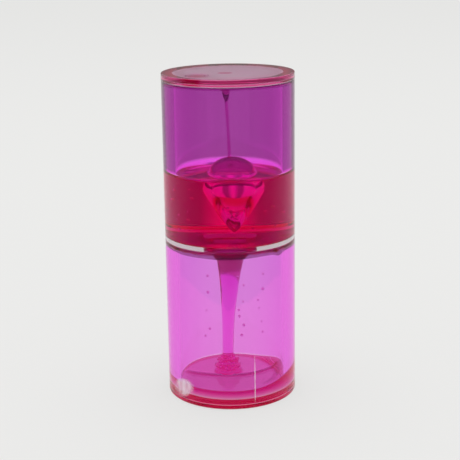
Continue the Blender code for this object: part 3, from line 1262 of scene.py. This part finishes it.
        def lumpy(place: Vector) -> Vector:
            """Makes the folds uneven, and shifts the pile under the stream."""
            share = min(1.0, (top - place.z) / 0.002) * min(1.0, (place.z - level) / 0.002)
            swell = 1 + self.pile_swell * share * noise.noise(place * self.pile_lumps)
            return Vector((place.x * swell, place.y * swell, place.z)) + self.pile_place

        heap = moved(turned(section, 96), lumpy)
        chance = random.Random(3)
        placed: list[Vector] = []
        while len(placed) < self.pile_bubbles:
            bearing, lift = chance.uniform(0, math.tau), chance.uniform(0.001, 0.006)
            size = 0.001 * chance.uniform(0.3, 0.8)
            room = self.pile_spread(1 - lift / height) - 0.0019
            reach = room * math.sqrt(chance.uniform(0.1, 1.0))
            place = self.pile_place + polar(reach, bearing, level + lift)
            if claimed(place, placed, self.pile_bubble_gap):
                hollowed(heap, ball(size, place))
        piece(heap, "piled_ooze", self.palette.landed, Slot.OOZE, ["landing_mound"])

    def before_ridge(self, place: Vector) -> float:
        """How far a place lies in front of the curved ridge on the lower pool."""
        bend = 12.5 if place.x < 0 else 26.0
        return min(self.ridge_place + bend * place.x**2, self.ridge_back) - place.y

    def lower_pool(self) -> None:
        """The ooze that has landed, level in the middle and drawn up the wall on one side."""
        level, floor, width = self.lower_level, self.stack.base_upside + TOUCH, self.ridge_width
        pile_foot = self.pile_radius + self.pile_ripple + self.pile_skirt
        shore, outside = self.inside - self.lower_width, 0.016
        surface = free((0.0, level), *line((pile_foot, level), (shore, level), 40))
        section = [surface, *self.shore(level, self.lower_rise, self.lower_width, floor)]

        def shaped(place: Vector) -> Vector:
            """Centres the rings on the pile, raises the ridge, and draws the shore up the wall."""
            if place.z < level - SURFACE:
                return place
            reach = place.xy.length
            up = ramp(reach, self.inside - self.climb_reach, self.inside) * self.wall_climb(place)
            put = place + self.pile_place * ramp(reach, outside, pile_foot)
            swell = self.ridge * math.exp(-((self.before_ridge(put) / width) ** 2))
            swell *= ramp(reach, shore, shore - 0.002) * ramp(reach, pile_foot, pile_foot + 0.0008)
            return put + UP * (up + swell)

        def painted_ridge_shade(place: Vector) -> float:
            """Painted shade: darkens the surface in front of the ridge a little, and the ridge's front
            slope fully as a dark line.
            """
            if place.z < level - SURFACE:
                return 0.0
            ahead = self.before_ridge(place)
            slope = math.exp(-(((ahead - 0.0004) / 0.0004) ** 2))
            return max(self.ridge_tint * ramp(ahead, -width / 2, width / 2), slope)

        pool = shaded(moved(turned(section), shaped), painted_ridge_shade)
        joined_at(pool, self.pile_place, pile_foot, level - SURFACE)
        chance = random.Random(11)
        for _ in range(14):
            bearing, reach = chance.uniform(0, math.tau), chance.uniform(0.011, 0.0235)
            place = polar(reach, bearing, floor + chance.uniform(0.0007, 0.0026))
            hollowed(pool, ball(chance.uniform(0.00012, 0.0003), place, Vector((1.6, 1.6, 0.8))))
        piece(pool, "lower_ooze", self.palette.landed, Slot.OOZE, ["lower_ooze_pool"])

    def lower_film(self) -> None:
        """The film on the lower chamber's wall, from the pool's shore up to the drip ring."""
        low = self.lower_level + self.lower_rise + TOUCH
        high = self.stack.divider_base - TOUCH - self.drip_depth - TOUCH
        wall, inside = self.stack.filled, self.inside
        face = free(*line((inside, low), (inside, high), 48))
        section = [face, wet((inside, high), (wall, high), (wall, low), (inside, low))]

        def fitted(place: Vector) -> Vector:
            """Starts the film at the climbing shore and ends it at the sagging ring."""
            share = (place.z - low) / (high - low)
            return place + UP * ((1 - share) * self.wall_climb(place) - share * self.drip(place))

        def tinted_above_curve(place: Vector) -> float:
            """Marks the back of the film above a U-shaped curve, where the finish tints it."""
            curve = self.curve_level + self.curve_rise * (place.x / self.stack.bore) ** 2
            return ramp(place.z, curve, curve + 0.0015) * ramp(place.y, 0.0, 0.003)

        film = shaded(moved(turned(section), fitted), tinted_above_curve)
        piece(film, "lower_film", self.palette.lower_film, Slot.FILM, ["lower_wall_film"])

    def beads(self) -> None:
        """Beads of ooze that cling to the front of the lower chamber's wall in a few runs."""
        chance = random.Random(5)
        beads = bmesh.new()
        for run in self.bead_runs:
            height = self.stack.divider_base - self.bead_drop
            while height > self.bead_foot:
                size = chance.uniform(*self.bead_sizes)
                side = run + chance.uniform(-0.0014, 0.0014)
                depth = math.sqrt((self.inside - 0.7 * size - TOUCH) ** 2 - side**2)
                added(beads, ball(size, Vector((side, -depth, height)), Vector((1.0, 0.7, 1.1))))
                height -= chance.uniform(0.003, 0.009)
        piece(beads, "clinging_beads", self.palette.thread, Slot.FILM)

    def drip_ring(self) -> None:
        """The lumpy film under the divider, and the ooze in its corner, which sags in one drop."""
        under = self.stack.divider_base - TOUCH
        sheet, low = under - self.under_film, under - self.drip_depth
        wall, inside, start = self.stack.filled, self.inside, self.flare + TOUCH
        brink = inside - self.drip_width
        section = [
            Stretch(line((start, sheet), (brink, sheet), 20), Meets.DROPS),
            free(*corner((brink, sheet), (inside - 0.0004, sheet), (inside, low), 14)),
            wet((inside, low), (wall, low)),
            wet(*line((wall, low), (wall, sheet), 6)),
            wet((wall, sheet), (wall, under), (start, under), (start, sheet)),
        ]

        def sagging(place: Vector) -> Vector:
            """Lets the ring's lower edge down by the sag at its bearing, and the sheet by its lumps."""
            if place.z > sheet + TOUCH or place.xy.length > inside + TOUCH and place.z > low + TOUCH:
                return place
            share = (sheet - place.z) / (sheet - low)
            lump = max(0.0, 0.3 + noise.noise(Vector((place.x, place.y, 0.0)) * self.lumps))
            lump *= self.lump_depth * ramp(place.xy.length, start, start + 0.001) * (1 - share)
            return place - UP * (lump + share * self.drip(place))

        def painted_belly_shade(place: Vector) -> float:
            """Painted shade on the front of the belly in the corner, and none on the sheet."""
            return ramp(place.z, sheet - 0.0007, sheet - 0.0012) * ramp(place.y, 0.0, -0.004)

        ring = shaded(moved(turned(section), sagging), painted_belly_shade)
        piece(ring, "drip_ring", self.palette.drip, Slot.FILM, ["divider_drip_ring"])

    def build(self) -> None:
        """Builds the liquid from the lid down."""
        self.roof_film()
        self.upper_film()
        self.thread()
        self.upper_pool()
        self.drip_ring()
        self.stream()
        self.lower_film()
        self.beads()
        self.pile()
        self.lower_pool()


# The studio
@dataclass
class Studio:
    """A pale floor without an edge, soft even light, and the camera that took the view."""

    camera_place: Vector = spot(0.0, -0.5277, 0.2158)
    pitch: float = math.radians(-14.778)
    roll: float = math.radians(-0.868)
    lens: float = 92.26
    sensor: float = 36.0
    surround: Colour = (0.84, 0.84, 0.83)
    horizon: Colour = (0.22, 0.22, 0.22)
    dusk: Point = (0.1, 0.29)
    lamp_place: Vector = spot(0.0, 0.2, 1.8)
    lamp_size: float = 1.6
    lamp_power: float = 12.0
    floor_half: float = 40.0
    floor_drop: float = 0.0002
    floor_dark: Colour = (0.9, 0.9, 0.895)
    floor_pale: Colour = (0.905, 0.905, 0.9)
    floor_glow: Colour = (0.79, 0.79, 0.78)
    glow_share: float = 0.8
    bounces: int = 96

    def camera(self) -> None:
        """The camera, level with the tube's upper end and looking slightly down."""
        data = bpy.data.cameras.new("view")
        data.lens = self.lens
        data.sensor_width = self.sensor
        data.clip_end = 200.0
        eye = shown("view", data)
        turn = Matrix.Rotation(math.pi / 2 + self.pitch, 4, "X") @ Matrix.Rotation(self.roll, 4, "Z")
        eye.matrix_world = Matrix.Translation(self.camera_place) @ turn
        bpy.context.scene.camera = eye

    def floor(self) -> None:
        """The pale floor, as wide as the view."""
        sheet = bmesh.new()
        bmesh.ops.create_grid(sheet, x_segments=2, y_segments=2, size=self.floor_half)
        bmesh.ops.translate(sheet, vec=(0.0, 0.0, -self.floor_drop), verts=sheet.verts)
        mesh = bpy.data.meshes.new("pale_floor")
        sheet.to_mesh(mesh)
        sheet.free()
        mesh.materials.append(self.paint())
        shown("pale_floor", mesh)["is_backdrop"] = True

    def paint(self) -> Finish:
        """The floor's finish. To the camera and through clear pieces, most of its paleness is a glow.

        Returns:
            The material. The light adds the rest, so the tube's shadow shows softly.
        """
        finish = bpy.data.materials.new("floor_pale")
        graph = Graph(finish)
        tint = graph.blend(graph.grain((6.0, 6.0, 6.0)), self.floor_dark, self.floor_pale)
        lit = graph.nodes["Principled BSDF"]
        graph.feed(lit, {"Roughness": 0.9, "Specular IOR Level": 0.0, "Base Color": tint})
        glow = graph.add("Emission", {"Color": (*self.floor_glow, 1.0)}, "Emission")
        seen = graph.add("LightPath", {}, "Is Camera Ray")
        path = seen.node
        for other in ("Is Glossy Ray", "Is Transmission Ray"):
            seen = graph.add("Math", {0: seen, 1: path.outputs[other]}, 0, operation="MAXIMUM")
        share = graph.add("Math", {0: seen, 1: self.glow_share}, 0, operation="MULTIPLY")
        sides = {"Fac": share, 1: lit.outputs["BSDF"], 2: glow}
        graph.output({"Surface": graph.add("MixShader", sides, "Shader")})
        return finish

    def light(self) -> None:
        """Even light from above that dims towards the horizon, with one broad soft lamp."""
        world = bpy.data.worlds.new("soft_light")
        graph = Graph(world)
        direction = graph.add("TexCoord", {}, "Generated")
        height = graph.add("SeparateXYZ", {"Vector": direction}, "Z")
        levels = {"Value": height, "From Min": self.dusk[0], "From Max": self.dusk[1]}
        rise = graph.add("MapRange", levels, "Result", interpolation_type="SMOOTHSTEP")
        graph.feed(graph.nodes["Background"], {"Color": graph.blend(rise, self.horizon, self.surround)})
        bpy.context.scene.world = world
        data = bpy.data.lights.new("overhead", "AREA")
        data.shape = "DISK"
        data.size = self.lamp_size
        data.energy = self.lamp_power
        shown("overhead", data).location = self.lamp_place

    def build(self) -> None:
        """Sets up the view, the floor, the light and the light paths that clear pieces need."""
        self.camera()
        self.floor()
        self.light()
        scene = bpy.context.scene
        scene.view_settings.view_transform = "Standard"
        for kind in ("max", "transmission", "glossy"):
            setattr(scene.cycles, kind + "_bounces", self.bounces)


def write_sizes() -> None:
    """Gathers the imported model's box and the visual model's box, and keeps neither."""
    boxes = {"cad": CAD_BOX, "visual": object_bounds()}
    {name: [list(map(float, point)) for point in box] for name, box in boxes.items()}


def main() -> None:
    """Builds the tube and its studio."""
    logging.basicConfig(level=logging.INFO, format="%(name)s: %(message)s")
    Studio().build()
    stack = Stack.from_frame()
    palette = Palette()
    Housing(stack, palette).build()
    Ooze(stack, palette).build()
    write_sizes()


if __name__ == "__main__":
    main()
